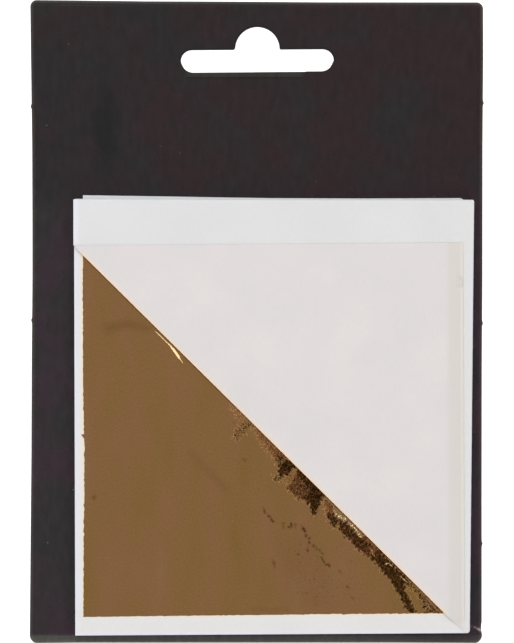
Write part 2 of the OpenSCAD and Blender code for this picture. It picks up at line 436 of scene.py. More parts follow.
def gloss_laminate():
    """Black print under clear gloss film. The film mirrors its surroundings softly, and the black under it
    is uneven: greener and greyer on the left, with a purple cast on the right, handled and a little dusty."""
    made, add, flat = finish("gloss_laminated_black_print")
    x, y = add("SeparateXYZ", [flat]).node.outputs[:2]
    cloud_mm = 13.0
    cloud = add("TexNoise", {"Vector": flat, "Scale": 1 / cloud_mm, "Detail": 3.0})
    across = add("MapRange", [x, -60.0, 60.0, -0.09, 0.08])
    cast = add("MapRange", [add("Math", [across, cloud]), 0.33, 0.62])
    ink = add("Mix", [cast, "#262425", "#2b1d20"])
    # Painted light: below the header the print is drawn lighter than in the header.
    painted_light_lower_print = add("Mix", [cast, "#2c2a2a", "#35252f"])
    lower = add("MapRange", [y, 32.0, 22.0, 0.0, 1.0], interpolation_type="SMOOTHSTEP")
    ink = add("Mix", [lower, ink, painted_light_lower_print])
    # The print is drawn greyer along the bottom edge, most on the left.
    greyer_bottom = add("MapRange", [y, -69.3, -70.2, 0.0, 1.0], interpolation_type="SMOOTHSTEP")
    less_to_the_right = add("MapRange", [x, 15.0, 45.0, 1.0, 0.4])
    greyer_bottom = add("Math", [greyer_bottom, less_to_the_right], operation="MULTIPLY")
    ink = add("Mix", [greyer_bottom, ink, "#4a4946"])
    # Painted light: below the slot a greener grey band is painted as the lip catching light, with a painted
    # dark shade line under it.
    near_x = add("Math", [add("Math", [x, lip_middle], operation="SUBTRACT")], operation="ABSOLUTE")
    wide = add("MapRange", [near_x, lip_w / 2 - 0.8, lip_w / 2, 1.0, 0.0])
    down = add("Math", [add("Math", [bar_low, y], operation="SUBTRACT"), 3.0], operation="DIVIDE")
    lip_light_shares = [(0.0, 0.0), (0.01, 0.8), (0.3, 0.5), (0.4, 0.15), (0.46, 0.0)]
    line = [(0.36, 0.0), (0.42, 0.7), (0.5, 0.0)]
    for shares, colour in ((lip_light_shares, "#35362d"), (line, "#15130f")):
        lip_light_and_shade = add("Math", [add("ValToRGB", [down], stops=shares), wide], operation="MULTIPLY")
        ink = add("Mix", [lip_light_and_shade, ink, colour])
    # Real mottle of the print is under 0.3 mm. It is drawn at 1.3 mm so that it shows.
    mottle_mm = 1.3
    tall = add("Mapping", {"Vector": flat, "Scale": (1.0, 0.35, 1.0)})
    mottle = add("TexNoise", {"Vector": tall, "Scale": 1 / mottle_mm, "Detail": 4.0})
    ink = toned(add, ink, mottle, 0.84, 1.16)
    # A finger smudge stands tall on the left of the header.
    smudge_at, smudge_half = (-33.6, 42.5), (3.4, 12.0)
    moved = add("VectorMath", [flat, (*smudge_at, 0.0)], operation="SUBTRACT")
    scaled = add("VectorMath", [moved, (1 / smudge_half[0], 1 / smudge_half[1], 0.0)], operation="MULTIPLY")
    wobble = add("TexNoise", {"Vector": flat, "Scale": 0.25, "Detail": 2.0}, out="Color")
    reach = add("VectorMath", [scaled, wobble], operation="ADD")
    reach = add("VectorMath", [reach, (0.5, 0.5, 0.5)], operation="SUBTRACT")
    far = add("VectorMath", [reach], operation="LENGTH")
    smudge = add("MapRange", [far, 1.3, 0.2, 0.0, 0.6], interpolation_type="SMOOTHSTEP")
    ink = add("Mix", [smudge, ink, "#121817"])
    # Dust lies as single specks.
    dust_apart_mm = 5.0
    cells = add("TexVoronoi", {"Vector": flat, "Scale": 1 / dust_apart_mm})
    speck = add("MapRange", [cells, 0.035, 0.02, 0.0, 1.0])
    chosen = add("SeparateColor", [cells.node.outputs["Color"]])
    bright = add("MapRange", [chosen, 0.45, 1.0, 0.0, 0.5])
    speck = add("Math", [speck, bright], operation="MULTIPLY")
    ink = add("Mix", [speck, ink, "#b9bdb6"])
    # A pale colour is painted at the bent corner and round the rim: a painted highlight along the corner's
    # crease and round the rim, brighter at the top, with the white board showing where the corner is chipped
    # and in a faint mark near the top right.
    ink = add("Mix", [add("Attribute", out="Fac", attribute_name="bruise_and_highlight"), ink, "#cdc8ba"])
    # Painted shade: a darker, bluer band is painted round the upper edge of the slot, where the film is drawn
    # down into the cut.
    ink = add("Mix", [add("Attribute", out="Fac", attribute_name="slot_edge_shade"), ink, "#16141c"])
    rough = add("MapRange", [cloud, 0.3, 0.7, 0.2, 0.32])
    # The film dries with a fine orange peel.
    peel_mm = 1.6
    peel = add("TexNoise", {"Vector": flat, "Scale": 1 / peel_mm, "Detail": 2.0})
    bump = add("Bump", {"Strength": 0.12, "Distance": 0.04 * MM, "Height": peel})
    return shaded(made, Base_Color=ink, Roughness=rough, IOR=1.5, Normal=bump)


def grey_board():
    """Bare recycled board. It is matt, brownish grey, and flecked with darker and lighter fibre."""
    made, add, flat = finish("uncoated_grey_board")
    pulp_mm, fleck_mm = 0.9, 1.4
    pulp = add("TexNoise", {"Vector": flat, "Scale": 1 / pulp_mm, "Detail": 5.0, "Roughness": 0.7})
    board = add("Mix", [pulp, "#85817a", "#b3afa7"])
    flecks = add("TexVoronoi", {"Vector": flat, "Scale": 1 / fleck_mm})
    fleck = add("MapRange", [flecks, 0.12, 0.05, 0.0, 0.5])
    board = add("Mix", [fleck, board, "#5c5852"])
    bump = add("Bump", {"Strength": 0.4, "Distance": 0.08 * MM, "Height": pulp})
    return shaded(made, Base_Color=board, Roughness=0.9, Normal=bump)


laminate = gloss_laminate()
board = grey_board()
card = cut_out("hanging_card", [card_outline, slot_outline],
               np.concatenate([*rim_loops, *lip_loops, inner_card, near_slot, near_corner]),
               card_surfaces, [laminate, board], side_material=1, back_material=1)


def hold(piece, name, values):
    """Writes one number for each point of the flat piece, for both of its surfaces."""
    held = piece.data.attributes.new(name, "FLOAT", "POINT")
    held.data.foreach_set("value", values.astype(np.float32))


def flat_of(piece):
    """The flat coordinates of all of a piece's points."""
    flat = np.empty(len(piece.data.vertices) * 3, np.float32)
    piece.data.attributes["flat"].data.foreach_get("vector", flat)
    return flat.reshape(-1, 3)[:, :2].astype(float)


flat = flat_of(card)
past, along = bent_corner(flat)
edge = gap_to(flat, card_outline)
# Painted highlight along the bent corner's crease and round the rim, brighter at the top. The chip at the
# corner is wear, and mark is a faint line near the top right.
crease_highlight = (0.2 + 0.45 * smooth(along / 2.6)) * np.exp(-(past / (0.1 + 0.04 * along)) ** 2)
crease_highlight = crease_highlight * smooth((along + 0.2) / 0.6)
chip = 0.14 * smooth((-past + 0.1) / 0.2) * smooth((past + 0.2 * along) / 0.3) * smooth((along - 1.0) / 1.2)
rim_light = (0.06 + 0.03 * smooth((flat[:, 1] - 60) / 10)) * (1 - smooth(edge / 0.9))
mark = 0.025 * np.exp(-gap_to_path(flat, np.array([(46.2, 67.0), (46.9, 62.7)])) ** 2 / 0.25)
hold(card, "bruise_and_highlight", np.clip(crease_highlight + chip + rim_light + mark, 0, 1))
# Painted shade round the upper edge of the slot.
slot_gap = gap_to(flat, slot_outline)
hold(card, "slot_edge_shade", 0.7 * (1 - smooth((slot_gap - 0.15) / 0.35)) * (flat[:, 1] > slot_y))
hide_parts("backing_card")
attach(card, "card")


# Mounting tape
# Two strips of double-sided tissue tape hold the back cover on the card. They come off a roll with a toothed
# cutter, so their ends are zigzags, and small bubbles stay under them.
tooth = 0.9
tooth_depth = 0.35
tape_squeeze = 0.015
bubble_high = 0.012


def toothed(x, low, high):
    """A cut end of the tape, from low to high."""
    y = np.linspace(low, high, 2 * round((high - low) / tooth) + 1)
    return np.stack([x - tooth_depth * (np.arange(len(y)) % 2), y], 1)


def tissue_tape():
    """Fibre tissue soaked in acrylic glue. It is milky and half matt, with clear patches where it has wetted
    the card and paler ones over trapped air."""
    made, add, flat = finish("double_sided_tissue_tape")
    air_mm, fibre_mm = 3.5, 0.4
    air = add("TexNoise", {"Vector": flat, "Scale": 1 / air_mm, "Detail": 3.0})
    dry = add("MapRange", [air, 0.45, 0.6], interpolation_type="SMOOTHSTEP")
    milk = add("Mix", [dry, "#a9a69c", "#d3d0c6"])
    long_way = add("Mapping", {"Vector": flat, "Scale": (0.2, 1.0, 1.0)})
    fibre = add("TexNoise", {"Vector": long_way, "Scale": 1 / fibre_mm, "Detail": 4.0})
    milk = toned(add, milk, fibre, 0.85, 1.1)
    wet = add("MapRange", [air, 0.4, 0.65, 0.25, 0.6])
    bump = add("Bump", {"Strength": 0.5, "Distance": 0.06 * MM, "Height": fibre})
    return shaded(made, Base_Color=milk, Roughness=wet, Normal=bump)


tape_finish = tissue_tape()
for tape_name in ("upper_tape", "lower_tape"):
    tape_low, tape_high = corners_of(tape_name)
    left_cut = toothed(tape_low[0] + tooth_depth, tape_low[1], tape_high[1])
    right_cut = toothed(tape_high[0], tape_low[1], tape_high[1])
    outline = np.concatenate([straight(left_cut[0], right_cut[0], 1.5), right_cut[:-1],
                              straight(right_cut[-1], left_cut[-1], 1.5), left_cut[:0:-1]])

    def tape_surfaces(points, low=tape_low, high=tape_high):
        bubbles = bubble_high * np.sin(points[:, 0] / 2.1) * np.sin(points[:, 1] / 1.7)
        return at_height(points, high[2] - tape_squeeze + bubbles), at_height(points, low[2])

    inner = grid(tape_low[0] + 1.2, tape_low[1] + 0.9, tape_high[0] - 1.2, tape_high[1] - 0.7, 1.0)
    tape = cut_out(tape_name + "_strip", [outline], inner, tape_surfaces, [tape_finish])
    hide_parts(tape_name)
    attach(tape, "card")


# Back cover
# A stiffer sheet of smooth white paper, cut a little smaller than the tissues and glued under their top
# strip. Its upper edge stands out above them, and its upper right corner is clipped round.
cover_low, cover_high = corners_of("back_cover")


def smooth_paper():
    """Smooth uncoated paper of a bluish white, with a faint cloudy formation and a close, dry surface."""
    made, add, flat = finish("smooth_uncoated_paper")
    cloud_mm, grain_mm = 4.0, 0.5
    cloud = add("TexNoise", {"Vector": flat, "Scale": 1 / cloud_mm, "Detail": 4.0})
    sheet = add("Mix", [cloud, "#dde2e6", "#e9ecee"])
    grain = add("TexNoise", {"Vector": flat, "Scale": 1 / grain_mm, "Detail": 3.0})
    bump = add("Bump", {"Strength": 0.15, "Distance": 0.03 * MM, "Height": grain})
    return shaded(made, Base_Color=sheet, Roughness=0.75, Normal=bump)


def sheet_outline(corners, step, clips):
    """A sheet from its corners, anticlockwise from the lower left, with each clipped by its own amount."""
    loop = []
    for i, corner in enumerate(corners):
        after_i = (i + 1) % len(corners)
        before, after = np.subtract(corners[i - 1], corner), np.subtract(corners[after_i], corner)
        start = corner + clips[i] * before / np.hypot(*before)
        turn = corner + clips[i] * after / np.hypot(*after)
        end = corners[after_i] - clips[after_i] * after / np.hypot(*after)
        loop += [[start, (start + turn + corner) / 3], straight(turn, end, step)]
    return np.concatenate(loop)


def within(points, corners, margin):
    """The points that lie inside a sheet by more than margin, if its corners all bulge out."""
    kept = np.ones(len(points), bool)
    for a, b in zip(corners, np.roll(corners, -1, 0)):
        run = (b - a) / math.dist(a, b)
        kept &= (points - a) @ np.array([-run[1], run[0]]) > margin
    return points[kept]


def flat_sheet(base, thick):
    def surfaces(points):
        return at_height(points, base + thick), at_height(points, base)
    return surfaces


cover_sag = [(1.0, 0.66), (0.74, 0.76), (0.5, 0.68), (0.38, 0.54), (0.2, 0.28), (0.0, 0.03)]
cover_width = cover_high[0] - cover_low[0]
cover_top = [(cover_low[0] + part * cover_width, cover_high[1] - sag) for part, sag in cover_sag]
cover_corners = np.array([cover_low[:2], (cover_high[0], cover_low[1]), *cover_top])
cover_inner = within(grid(*cover_low[:2], *cover_high[:2], 3.0), cover_corners[[0, 1, 2, 7]], 1.8)
cover_finish = smooth_paper()
cover_clips = [0.3, 0.3, 0.9, 0.2, 0.2, 0.2, 0.2, 0.1]
cover = cut_out("cover_sheet", [sheet_outline(cover_corners, 2.0, cover_clips)], cover_inner,
                flat_sheet(cover_low[2] + 0.01, cover_high[2] - cover_low[2] - 0.02), [cover_finish])
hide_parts("back_cover")
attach(cover, "booklet")


# Padding glue
# A thin film of dried padding glue between every two sheets of the top strip, brushed on by hand, so that its
# edge wanders inside the edge of the paper.
glue_low, glue_high = corners_of("spine_glue")


def padding_glue():
    """Dried vinyl glue. It is ivory, half clear and a little shiny, with ripples from the brush."""
    made, add, flat = finish("dried_padding_glue")
    ripple_mm = 0.5
    brushed = add("Mapping", {"Vector": flat, "Scale": (0.15, 1.0, 1.0)})
    ripple = add("TexNoise", {"Vector": brushed, "Scale": 1 / ripple_mm, "Detail": 3.0})
    film = add("Mix", [ripple, "#d6cfb8", "#ece7d8"])
    bump = add("Bump", {"Strength": 0.5, "Distance": 0.05 * MM, "Height": ripple})
    return shaded(made, Base_Color=film, Roughness=0.35, IOR=1.47, Normal=bump)


def leaf_nodes(k):
    return f"tissue_{k:02d}", f"gold_leaf_{k:02d}"


sheet_count = 10
tissue_t = 0.05
glue_bite = 0.005
strip_levels = [corners_of(leaf_nodes(k)[0])[0][2] for k in range(sheet_count, 0, -1)]
strip_levels.append(corners_of("front_tissue")[0][2])
slab = corners_of("tissue_01")[1][2] - corners_of("tissue_01")[0][2]
glue_finish = padding_glue()
films = []
below = cover_high[2] - 2 * glue_bite
for n, level in enumerate(strip_levels):
    wander = 0.25 * np.sin(np.arange(4) * 2.4 + n)
    left, near, right, far = wander + [*(glue_low[:2] + 0.3), glue_high[0] - 0.3, glue_high[1] - 0.5]
    corners = np.array([(left, near), (right, near), (right, far), (left, far)])
    edge_line = sheet_outline(corners, 1.5, [1.2] * 4)
    edge_line[:, 1] += 0.15 * np.sin(edge_line[:, 0] / 2.3 + 1.7 * n)
    rows = grid(left + 1.5, near + 1.2, right - 1.5, far - 1.2, 4.0)
    top = level + (slab - tissue_t) / 2 + glue_bite
    films.append(cut_out(f"glue_film_{n}", [edge_line], rows, flat_sheet(below, top - below), [glue_finish]))
    below = top + tissue_t - 2 * glue_bite
with bpy.context.temp_override(active_object=films[0], selected_editable_objects=films):
    bpy.ops.object.join()
glue = films[0]
glue.name = "padding_glue_films"
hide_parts("spine_glue")
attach(glue, "booklet")


# Interleaving tissues
# Ten sheets of thin bleached tissue, one under each leaf. Each is one sheet from its glued top strip to its
# free lower edge, with close rows of points along the line just below the strip where it would bend.
# A little air lets the free end rise.
sheet_square = np.array([(-40.38, -69.6), (47.24, -69.05), (48.2, 26.9), (-40.67, 27.1)])
sheet_clips = [0.08, 0.5, 0.25, 0.3]
turn_y = corners_of("tissue_01")[1][1]
front_right = corners_of("front_tissue")[1][0]
curl = 1.15


def looseness(points):
    """How far the top of the stack rises off its resting height, in millimetres, with the air under it."""
    x, y = points.T
    free = smooth((turn_y - y) / 30)
    swell = 0.013 + 0.007 * np.sin(x / 13 + 0.5)
    swell = swell + 0.005 * np.sin(x / 8 + y / 15) + 0.005 * np.cos(y / 11 - x / 23)
    return free * (swell + 0.015 * smooth((x - 10) / 45) + 0.012 * smooth((-30 - y) / 45))


def strayed(low, high):
    """A sheet's corners, moved by as much as its CAD node lies off the front sheet. The left sides were
    trimmed together, a little inside the front sheet."""
    out, up = high[0] - front_right, low[1] - sheet_square[0][1]
    return sheet_square + [(0.14, up), (out, up), (out, up), (0.14, up)]


def off_bend(points):
    """The points that lie clear of the close rows at the bend."""
    return points[(points[:, 1] < turn_y - curl - 0.6) | (points[:, 1] > turn_y + 0.7)]


def bend_rows(left, right, depth):
    """Close rows of points where a sheet bends."""
    return grid(left + 0.8, turn_y - depth - 0.25, right - 0.8, turn_y + 0.35, 2.2, 0.12)


def beside(add, flat, start, end):
    """Millimetres from the line through start and end, to either side."""
    run = np.subtract(end, start) / math.dist(start, end)
    normal = np.array([-run[1], run[0]])
    across = add("VectorMath", [flat, (*normal, 0.0)], operation="DOT_PRODUCT")
    across = add("Math", [across, float(normal @ start)], operation="SUBTRACT")
    return add("Math", [across], operation="ABSOLUTE")


def round_leaf(add, flat):
    """Millimetres outside the square of leaf on the sheet, and a share that falls towards its middle."""
    middle, half = leaf_square.mean(0), (leaf_high - leaf_low)[:2] / 2
    leaf_lean = math.radians(-0.33)
    moved = add("VectorMath", [flat, (*middle, 0.0)], operation="SUBTRACT")
    turned = add("Mapping", {"Vector": moved, "Rotation": (0.0, 0.0, leaf_lean)})
    folded = add("VectorMath", [turned], operation="ABSOLUTE")
    past = add("VectorMath", [folded, (*half, 1.0)], operation="SUBTRACT")
    deep = add("Math", add("SeparateXYZ", [past]).node.outputs[:2], operation="MAXIMUM")
    deep = add("MapRange", [deep, -5.0, -0.5, 0.3, 1.0], interpolation_type="SMOOTHSTEP")
    past = add("VectorMath", [past, (0.0, 0.0, 0.0)], operation="MAXIMUM")
    return add("VectorMath", [past], operation="LENGTH"), deep


def bleached_tissue(name, light, dark, painted_light_tints):
    """Thin bleached tissue. It is matt and even, with cloudy patches where the pulp lies thicker and fine
    long fibres. The tints are painted highlights, painted shade and painted glow; each lies along a line and
    fades from near to far. One with no line is the warm light that the leaf throws on the paper round it and
    lends it from behind, and a line marked "leaf" is tinted only where it runs beside the leaf."""
    made, add, flat = finish(name)
    cloud_mm, fibre_mm = 14.0, 0.4
    cloud = add("TexNoise", {"Vector": flat, "Scale": 1 / cloud_mm, "Detail": 3.0})
    part = add("MapRange", [cloud, 0.35, 0.65])
    sheet = add("Mix", [part, dark, light])
    for line, near, far, colour, share in painted_light_tints:
        away, deep = round_leaf(add, flat)
        if line:
            off_line = beside(add, flat, *line[:2])
            away = add("Math", [away, off_line], operation="MAXIMUM") if line[2:] else off_line
        mask = add("MapRange", [away, near, far, share, 0.0], interpolation_type="SMOOTHSTEP")
        mask = mask if line else add("Math", [mask, deep], operation="MULTIPLY")
        sheet = add("Mix", [mask, sheet, colour])
    # Fibres are 0.02 mm wide. They are drawn at 0.4 mm so that they show at all.
    along_grain = add("Mapping", {"Vector": flat, "Scale": (1.0, 0.3, 1.0)})
    fibre = add("TexNoise", {"Vector": along_grain, "Scale": 1 / fibre_mm, "Detail": 4.0})
    sheet = toned(add, sheet, fibre, 0.985, 1.012)
    bump = add("Bump", {"Strength": 0.12, "Distance": 0.03 * MM, "Height": fibre})
    return shaded(made, Base_Color=sheet, Roughness=0.88, Specular_IOR_Level=0.25, Normal=bump)


leaf_low, leaf_high = corners_of("gold_leaf_01")
leaf_square = np.array([(leaf_low[0] + 0.25, leaf_low[1] - 0.25), (leaf_high[0], leaf_low[1] + 0.5),
                        (leaf_high[0], leaf_high[1] + 0.35), (leaf_low[0], leaf_high[1] + 0.35)])
page_square = strayed(*corners_of("tissue_01"))
# Painted highlights: bluish-white bands along each tissue's bottom and left edges stand in for light catching
# them. The tint with no line is painted warm light round the leaf.
page_finish = bleached_tissue("bleached_tissue", "#e4e3e2", "#e1e0df", [
    ((page_square[0], page_square[1]), 0.3, 0.8, "#e4e3ec", 0.9),
    ((page_square[3], page_square[0]), 0.9, 1.5, "#e5e4e9", 0.9),
    (None, 0.2, 0.75, "#ece1d0", 0.95),
])


def loose_sheet(level, share):
    """The surfaces of a tissue that lies at a level and takes a share of the stack's rise."""
    def surfaces(points):
        middle = level + share * looseness(points)
        return at_height(points, middle + tissue_t / 2), at_height(points, middle - tissue_t / 2)
    return surfaces


def share_of(k):
    return (sheet_count + 1 - k) / (sheet_count + 1)


for k in range(sheet_count, 0, -1):
    tissue_name = leaf_nodes(k)[0]
    tissue_low, tissue_high = corners_of(tissue_name)
    square = strayed(tissue_low, tissue_high)
    inner = within(off_bend(grid(*square[0], *square[2], 2.0)), square, 0.7)
    inner = np.concatenate([inner, bend_rows(tissue_low[0], tissue_high[0], curl)])
    sheet = cut_out(f"interleaf_{k:02d}", [sheet_outline(square, 1.0, sheet_clips)], inner,
                    loose_sheet((tissue_low[2] + tissue_high[2]) / 2, share_of(k)), [page_finish])
    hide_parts(tissue_name, "glued_margins")
    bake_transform(sheet)


# Metal leaves
# Each tissue carries one square of beaten metal leaf, imitation gold of copper and zinc, far thinner than the
# tissue. It clings by itself, has torn and ragged edges, and is crumpled where the fold has dragged on it.
leaf_t = 0.01
leaf_sink = 0.035
leaf_wave = 0.012
hinge = [joint for joint in frame["joints"] if joint["name"] == "flap_unfold"][0]
crease_start = np.array(hinge["pos_m"][:2]) / MM
along_crease = np.array(hinge["axis"][:2])
off_crease = np.array([-along_crease[1], along_crease[0]])
picture_middle = (256.5, 321.5)


def on_card(places):
    """Places in the picture's pixels as millimetres on the card."""
    return (np.array(places, float) - picture_middle) * [1, -1] / px_per_mm


def off_fold(points):
    """Millimetres from the fold, over the bare leaf."""
    return (crease_start - points) @ off_crease


# Crumpled areas of the first leaf. Each has its outline in picture pixels, how much of it is painted dark as
# shade and dark reflection, how much is rusty and how much glints with a painted highlight.
crumpled_areas = [
    ([(229, 404), (236, 403), (257, 427), (250, 430), (243, 424), (236, 418), (231, 411)], 0.05, 0.4, 0.0),
    ([(253, 420), (243, 422), (236, 428), (232, 438), (236, 442), (243, 436), (248, 430), (254, 426)],
     0.5, 0.35, 0.0),
    ([(254, 430), (262, 430), (281, 451), (287, 459), (279, 462), (272, 457), (265, 449), (259, 440)],
     0.1, 0.6, 0.1),
    ([(268, 447), (277, 447), (286, 457), (281, 462), (274, 457)], 0.35, 0.8, 0.1),
    ([(273, 455), (283, 455), (290, 463), (281, 470), (276, 464)], 0.6, 0.5, 0.05),
    ([(284, 460), (290, 459), (297, 467), (287, 475), (280, 477), (277, 472), (279, 465)], 0.92, 0.1, 0.05),
    ([(272, 475), (279, 474), (283, 478), (281, 482), (274, 481)], 0.6, 0.3, 0.0),
    ([(281, 479), (295, 468), (300, 473), (295, 481), (289, 485), (283, 483)], 0.05, 0.5, 0.0),
    ([(296, 471), (305, 479), (312, 489), (309, 497), (301, 502), (292, 495), (285, 488), (290, 482)],
     0.55, 0.7, 0.1),
    ([(297, 468), (303, 471), (325, 494), (318, 502), (310, 493), (303, 482), (296, 475)], 0.88, 0.2, 0.0),
    ([(303, 497), (310, 492), (325, 495), (320, 503), (315, 517), (312, 516), (309, 505)], 1.0, 0.0, 0.0),
    ([(323, 500), (328, 500), (336, 508), (331, 515), (326, 511)], 0.4, 0.8, 0.1),
    ([(325, 512), (331, 511), (339, 518), (336, 529), (332, 527), (328, 520)], 0.78, 0.6, 0.1),
    ([(331, 507), (337, 508), (350, 521), (343, 522), (336, 518)], 0.1, 0.3, 0.75),
    ([(337, 517), (346, 520), (360, 534), (372, 548), (366, 556), (357, 549), (350, 541), (344, 537),
      (339, 530)], 0.74, 0.75, 0.12),
    ([(347, 519), (353, 523), (366, 536), (361, 539), (354, 533), (348, 526)], 0.35, 0.4, 0.65),
    ([(360, 534), (367, 537), (380, 550), (375, 561), (366, 555), (357, 545)], 0.45, 1.0, 0.2),
    ([(369, 547), (376, 548), (380, 554), (374, 559), (369, 554)], 0.1, 1.0, 0.3),
    ([(366, 553), (373, 554), (378, 548), (390, 560), (416, 587), (406, 584), (405, 590), (410, 598),
      (417, 614), (409, 614), (403, 605), (398, 594), (390, 582), (378, 567)], 0.84, 0.3, 0.05),
    ([(402, 573), (415, 586), (444, 614), (424, 614), (420, 602), (414, 592), (408, 585)], 0.62, 0.0, 0.12),
    ([(404, 582), (411, 585), (412, 590), (407, 589)], 0.5, 0.0, 0.3),
]
# The bright ridge beside the upper part of the fold, and the glints lower down. Each is a line in picture
# pixels with its slope and half its width in mm. Each is also painted in the pale glint colour, a painted
# highlight.
ridges = [([(155, 331), (159.5, 335), (166.5, 342), (170.5, 345.5)], 0.43, 0.22),
          ([(168.5, 344), (171, 346), (176, 353), (182.5, 362.3)], 0.47, 0.25),
          ([(333, 511), (338, 516), (346, 520)], 0.33, 0.18),
          ([(349, 523), (355, 528), (361, 536)], 0.32, 0.16),
          ([(371, 550), (374, 556)], 0.3, 0.14), ([(385, 564), (388, 563), (392, 566)], 0.28, 0.11),
          ([(400, 576), (407, 582)], 0.28, 0.11), ([(425, 608), (428, 606), (431, 609)], 0.28, 0.11),
          ([(232.3, 520.6), (232.9, 520.9)], 0.36, 0.12), ([(259.5, 535), (259.9, 535.4)], 0.34, 0.1),
          ([(200, 432), (200.3, 432.4)], 0.34, 0.1)]
# Fine creases in the open leaf, drawn only as painted shade, each with its depth, how strongly it is shaded.
creases = [([(263.3, 508), (265, 513)], 0.5), ([(268.8, 515.5), (271, 518), (272.8, 522)], 0.65),
           ([(283.2, 522.7), (283.2, 527.5)], 0.4), ([(288.8, 526.7), (291.2, 526)], 0.6),
           ([(291.2, 523.5), (291.2, 527.5)], 0.6), ([(295.2, 523.5), (295.5, 526.7)], 0.6),
           ([(301.9, 526.7), (304.7, 529.9), (305.5, 536.2), (308.7, 537.8), (309.5, 543.4)], 0.7),
           ([(307.9, 545.8), (307.5, 551.4)], 0.6), ([(312.7, 545), (317.5, 549), (323, 553.8)], 0.6),
           ([(321.5, 557), (324.6, 563.3), (330.2, 565.7)], 0.7), ([(272.8, 560.1), (274.8, 565.7)], 0.55),
           ([(298.3, 553.8), (298.6, 555.2)], 0.5), ([(347.2, 585.3), (347.6, 587)], 0.55),
           ([(351.5, 597), (353, 598.5)], 0.35), ([(244, 459), (244.5, 461)], 0.35),
           ([(339, 571), (340.5, 573)], 0.35)]
# Faint stains in the open leaf. Each has its outline in picture pixels, its depth and its soft edge in mm.
stains = [([(276, 540), (300, 530), (345, 585), (330, 612), (290, 600)], 0.06, 6.0),
          ([(104, 325), (128, 320), (152, 327), (150, 331), (128, 328), (107, 333)], 0.2, 2.0),
          ([(186, 452), (192, 450), (230, 488), (224, 493)], 0.1, 1.6),
          ([(93.5, 496), (96.5, 496), (96, 498.5), (93.5, 498)], 0.5, 0.4),
          ([(250, 608), (268, 609), (290, 608), (290, 610), (268, 611), (250, 610)], 0.12, 0.8)]
area_shapes, ridge_lines, crease_lines, stain_shapes = [
    [on_card(places) for places, *_ in group] for group in (crumpled_areas, ridges, creases, stains)]


def soft_area(points, shape, soft):
    """1 inside a shape, 0 outside, with an edge that is soft millimetres wide."""
    side = np.where(inside(points, [shape]), 1, -1)
    return smooth(0.5 + side * gap_to(points, shape) / soft)


def narrowed(points, line):
    """How wide a ridge is near each point, as a share. It tapers over the last 1.2 mm to either end."""
    end = np.minimum(np.hypot(*(points - line[0]).T), np.hypot(*(points - line[-1]).T))
    return 0.5 + 0.5 * smooth(end / 1.2)


def ridge_rows(line, half):
    """Points along a ridge's crest and along both of its feet."""
    crest = np.concatenate([straight(a, b, 0.15) for a, b in zip(line[:-1], line[1:])] + [line[-1:]])
    way = np.gradient(crest, axis=0)
    out = np.stack([-way[:, 1], way[:, 0]], 1) / np.hypot(*way.T)[:, None]
    out = out * (half * narrowed(crest, line))[:, None]
    return np.concatenate([crest, crest + out, crest - out])


area_wobble = 0.28
area_soft = 1.1
crease_wobble = 0.12


def crumples(points):
    """The first leaf's height, and how much of it is painted dark as shade and dark reflection, rusty,
    painted with a glint highlight, faceted, and stained, with painted shade beside the fold and in the
    creases.
    """
    d = off_fold(points)
    x, y = points.T
    dark, rust, glint = np.zeros((3, len(x)))
    wobble = np.stack([np.sin(5.1 * y + 2 * np.sin(3 * x)), np.sin(4.7 * x + 2 * np.sin(3.3 * y))], 1)
    for shape, (_, how_dark, how_rusty, how_bright) in zip(area_shapes, crumpled_areas):
        share = soft_area(points + area_wobble * wobble, shape, area_soft)
        dark = np.maximum(dark, how_dark * share)
        rust = np.maximum(rust, how_rusty * share)
        glint = np.maximum(glint, how_bright * share)
    facets = np.clip(0.35 * dark + rust, 0, 1) + 1.25 * glint
    wave = np.sin(x * 3.1 + 1.4 * np.sin(y * 2.3)) * np.sin(y * 3.7 + 1.2 * np.sin(x * 2.9))
    height = 0.012 + 0.008 * facets * (1 + wave)
    height = height + 0.005 * np.sin(x / 2.9 + 0.8 * np.sin(y / 19)) + 0.004 * np.sin(x / 7.3 + y / 31 + 1)
    in_open = d > -0.5
    # Painted shadow: a dark line on the open leaf beside the fold, darker lower down.
    dark = np.maximum(dark, (0.35 + 0.65 * smooth((-36 - y) / 5)) * smooth((0.38 - d) / 0.2) * in_open)
    for line, (_, steep, half) in zip(ridge_lines, ridges):
        near = gap_to_path(points, line)
        half = half * narrowed(points, line)
        height = height + steep * np.maximum(half - near, 0)
        bright = smooth((half + 0.06 - near) / 0.12)
        dark = dark * (1 - bright)
        facets = facets * (1 - bright)
        glint = np.maximum(glint, bright)
    stain_and_shade = np.max([share * soft_area(points, shape, soft)
                    for shape, (_, share, soft) in zip(stain_shapes, stains)], 0)
    # Painted shade: a brown band on the open leaf beside the fold.
    stain_and_shade = np.maximum(stain_and_shade, 0.5 * smooth((0.6 - d) / 0.45) * in_open)
    patchy = 0.74 + 0.26 * np.sin(3.6 * x + 2 * np.sin(3.1 * y))
    # Painted shade: each crease is drawn darker and browner, in patches.
    for line, (_, depth) in zip(crease_lines, creases):
        near = gap_to_path(points + crease_wobble * wobble, line)
        dark = np.maximum(dark, 0.8 * depth * np.exp(-(near / 0.34) ** 2) * patchy)
        stain_and_shade = np.maximum(stain_and_shade, depth * np.exp(-(near / 0.28) ** 2) * patchy)
    dark = np.maximum(dark, 0.22 * soft_area(points, stain_shapes[0], 5.0))
    return height, dark, rust, glint, facets, stain_and_shade


def ragged(start, end, wander, chance):
    """A torn edge from start up to end, in steps of uneven length."""
    way = np.subtract(end, start) / math.dist(start, end)
    along = np.cumsum(chance.uniform(0.12, 0.9, round(math.dist(start, end) / 0.5)))
    along = np.append(0, along[along < math.dist(start, end) - 0.2])
    out = wander * chance.standard_t(3, len(along)) * (along > 0.5)
    return start + np.outer(along, way) + np.clip(out, -0.16, 0.16)[:, None] * np.array([way[1], -way[0]])


